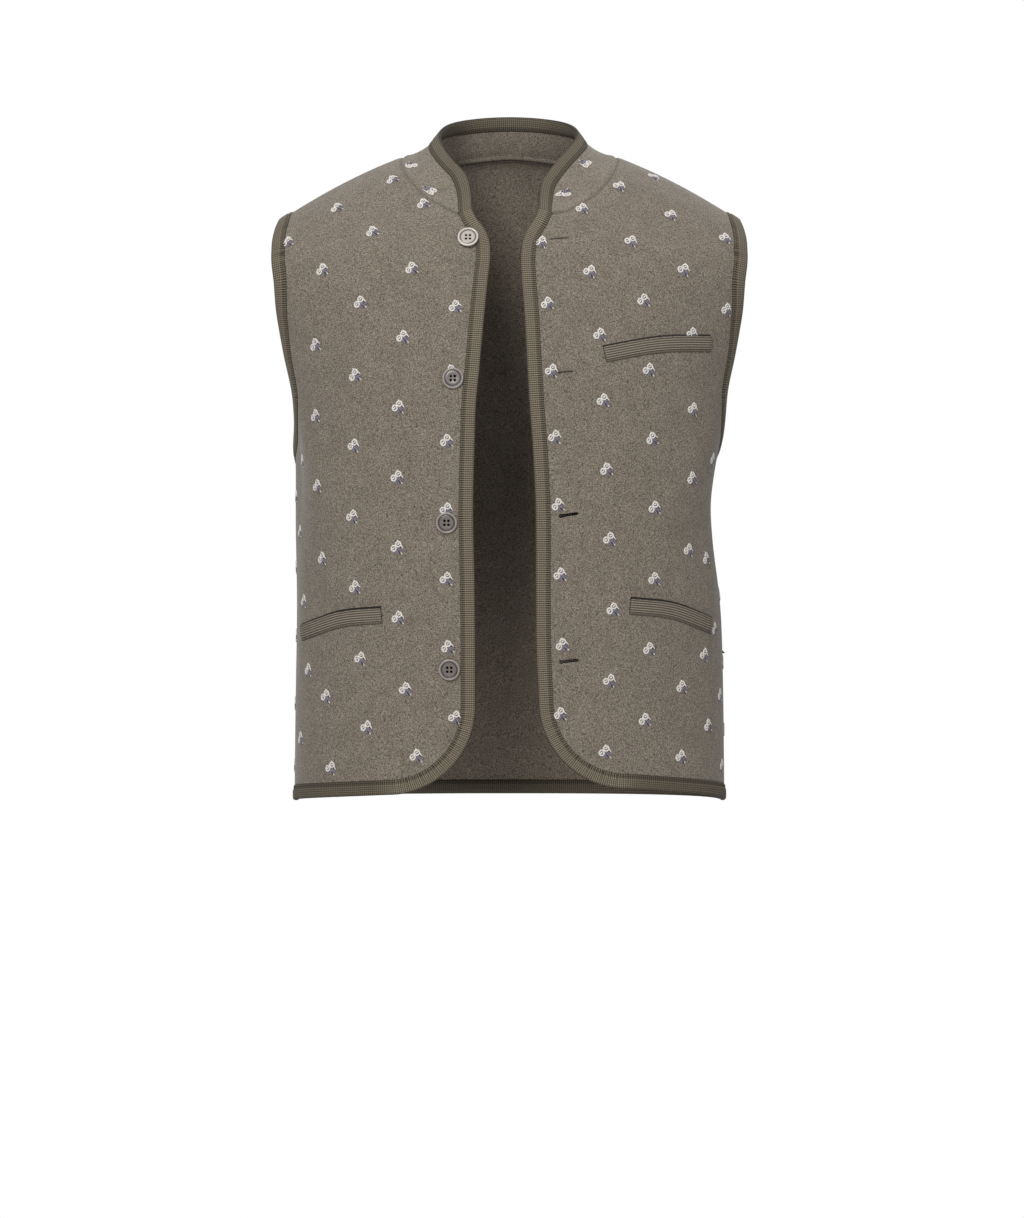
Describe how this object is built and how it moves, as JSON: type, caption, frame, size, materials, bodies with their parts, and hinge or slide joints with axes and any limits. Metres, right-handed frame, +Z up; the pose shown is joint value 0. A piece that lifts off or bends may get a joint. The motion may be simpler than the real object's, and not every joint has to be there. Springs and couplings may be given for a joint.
{
  "type": "wool waistcoat",
  "caption": "Felted wool waistcoat worn open: curved front corners, stand collar, knitted tape on all edges, welt pockets, sewn buttons; hollow on a general figure.",
  "frame": {"origin": "half way between the neck ends of the two shoulder seams, where the wearer's shoulders hold the garment up", "axes": "+Z up; the fronts face -Y; +X is the wearer's left; longest along Z, shortest along Y"},
  "size_m": [0.4652, 0.279, 0.6912],
  "materials": {
    "felted_wool": "felted",
    "knitted_tape": "ribbed knit",
    "welt_knit": "fine knit",
    "grey_horn": "polished horn",
    "embroidery": "wool yarn"
  },
  "bodies": {
    "root": {"back": "felted_wool", "front_right": "felted_wool", "front_left": "felted_wool", "collar": "felted_wool", "tape_collar": "knitted_tape", "tape_front_right": "knitted_tape", "tape_front_left": "knitted_tape", "tape_hem_back": "knitted_tape", "tape_armhole_right": "knitted_tape", "tape_armhole_left": "knitted_tape", "welt_chest": "welt_knit", "welt_hip_right": "welt_knit", "welt_hip_left": "welt_knit", "button_1": "grey_horn", "button_2": "grey_horn", "button_3": "grey_horn", "button_4": "grey_horn"}
  },
  "joints": []
}
